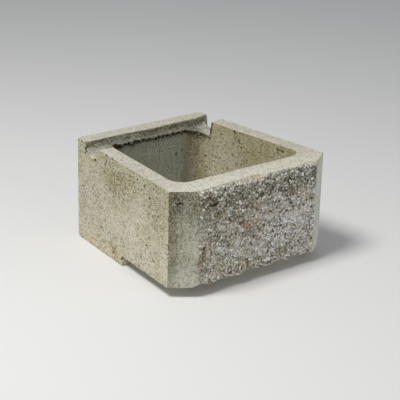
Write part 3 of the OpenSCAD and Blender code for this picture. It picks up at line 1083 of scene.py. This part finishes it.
def concrete_material():
    paint = Surface("concrete", 0.92, 0.25)
    top, inside = paint.ramp(paint.facing[2], 0.55, 0.85), paint.mark("inside")
    upright = paint.outside(top)
    grooved, steep = paint.mark("grooved"), paint.fall(paint.facing[1], -0.95, -0.4)
    cast = paint.colour = paint.blend(top, side_colour(paint), top_colour(paint))
    side_stains(paint)
    speckles(paint)
    paint.colour = paint.blend(upright, cast, paint.colour)
    cheek, left = cheek_stains(paint)
    left_cheek_stains(paint, cheek, left)
    cavity_stains_light_and_shade(paint, inside)
    groove_painted_shade(paint, grooved, steep)
    crusts(paint, grooved, steep)
    smoother = paint.plus(paint.times(cheek, 0.3), paint.times(grooved, 0.5))
    shaded = paint.times(inside, paint.ramp(paint.x, 0.13, 0.18, 0.22, 0.0))
    on_sides = paint.times(upright, paint.outside(paint.highest(smoother, shaded)))
    weathering(paint, on_sides, top)
    small, large = pores(paint, 0.0075, 0.22, (1, 1, 0.7)), pores(paint, 0.02, 0.05)
    pitted = paint.highest(paint.times(small, on_sides, 0.8), paint.times(large, upright))
    paint.stain((0.42, 0.38, 0.3), pitted)
    under_rim = paint.ramp(paint.wander(paint.z, 0.006, 0.006), TOP_Z - 0.004, TOP_Z)
    paint.stain((0.8, 0.77, 0.7), upright, paint.outside(grooved), under_rim, 0.7)
    paint.stain((0.72, 0.6, 0.5), paint.mark("chipped"), 0.8)
    grain = paint.noise(0.0022, 3.0, roughness=0.7)
    paint.stain((0.73, 0.71, 0.66), paint.ramp(grain, 0.42, 0.7))
    broken, skin = paint.mark("broken"), paint.colour
    paint.colour = paint.blend(broken, skin, broken_colour(paint))
    paint.stain((0.23, 0.2, 0.105), paint.mark("pit"))
    rough = paint.noise(0.006, 4.0, roughness=0.65)
    relief = paint.times(rough, paint.plus(0.6, paint.times(broken, 0.5)))
    return paint.finish((paint.outside(pitted), 0.0012), (relief, 0.0026), (grain, 0.0009))


def stone_material():
    paint = Surface("stone", 0.24, 0.7)
    paint.colour = paint.node("Attribute", attribute_name="stone_colour")["Color"]
    paint.cover((0.5, 0.47, 0.39), paint.spots(0.48, 0.65, 0.005), 0.35)
    grain = paint.noise(0.0012)
    paint.stain((0.85, 0.84, 0.82), paint.ramp(grain, 0.45, 0.7))
    return paint.finish((grain, 0.0002))


# ---- Camera, lights and floor ----
CAMERA_PLACE = (-1.9741, -2.4503, 1.3475)
CAMERA_HEADING, CAMERA_PITCH, CAMERA_ROLL = 39.02, 21.09, 1.54
CAMERA_LENS, SENSOR_WIDTH = 116.44, 36
# Soft lights: name, place, size, power, colour
LIGHTS = (("main_light", (-1.62, -0.1, 3.2), 1.2, 92, (1.0, 0.99, 0.97)),
          ("fill_light", (1.5, -2.5, 0.35), 1.4, 16, (0.97, 0.985, 1.0)))
LIGHT_AIM = Vector((0, 0, 0.13))
SKY_COLOUR = (0.86, 0.88, 0.92, 1)
SKY_LIGHT, SKY_SEEN = 0.35, 0.85
FLOOR_COLOUR, FLOOR_ROUGHNESS = (0.78, 0.78, 0.77, 1), 0.9
FLOOR_RADIUS, FLOOR_SIDES, FLOOR_GAP = 30.0, 96, 0.5 * MM


def add_camera():
    """The camera looks from the block's front left, a little above it. Its angles are in degrees."""
    data = bpy.data.cameras.new("camera")
    data.lens, data.sensor_width = CAMERA_LENS, SENSOR_WIDTH
    camera = add_object("camera", data)
    turns = ((-CAMERA_HEADING, "Z"), (90 - CAMERA_PITCH, "X"), (CAMERA_ROLL, "Z"))
    heading, pitch, roll = (Matrix.Rotation(math.radians(angle), 4, axis) for angle, axis in turns)
    camera.matrix_world = Matrix.Translation(CAMERA_PLACE) @ heading @ pitch @ roll
    bpy.context.scene.camera = camera


def add_lights():
    """A broad main light from the upper left and a weak fill from the right."""
    for name, place, size, power, colour in LIGHTS:
        data = bpy.data.lights.new(name, "AREA")
        data.shape, data.size, data.energy, data.color = "DISK", size, power, colour
        light = add_object(name, data)
        light.location = place
        light.rotation_euler = (LIGHT_AIM - light.location).to_track_quat("-Z", "Y").to_euler()
        light.visible_camera = False


def add_sky():
    """An even pale sky, weaker as a light than it looks."""
    world = bpy.data.worlds.new("sky")
    world.use_nodes = True
    nodes, links = world.node_tree.nodes, world.node_tree.links
    background = nodes["Background"]
    background.inputs["Color"].default_value = SKY_COLOUR
    strength = nodes.new("ShaderNodeMapRange")
    strength.inputs["To Min"].default_value = SKY_LIGHT
    strength.inputs["To Max"].default_value = SKY_SEEN
    links.new(nodes.new("ShaderNodeLightPath").outputs["Is Camera Ray"], strength.inputs["Value"])
    links.new(strength.outputs[0], background.inputs["Strength"])
    bpy.context.scene.world = world


def add_floor():
    turns = np.arange(FLOOR_SIDES) * 2 * math.pi / FLOOR_SIDES
    ring = FLOOR_RADIUS * np.stack((np.cos(turns), np.sin(turns), 0 * turns), -1)
    floor = mesh_object("floor", ring, np.arange(FLOOR_SIDES)[None])
    floor.location.z = BASE_Z - FLOOR_GAP
    material, shader = new_material("floor", FLOOR_ROUGHNESS)
    shader.inputs["Base Color"].default_value = FLOOR_COLOUR
    floor.data.materials.append(material)


add_camera()
add_lights()
add_sky()
add_floor()

block = cast_block()
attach(block, "root")
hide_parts("planter_block")
block.data.materials.append(concrete_material())
stones = bare_stones()
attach(stones, "root")
stones.data.materials.append(stone_material())

bpy.context.scene.view_settings.view_transform = "Standard"
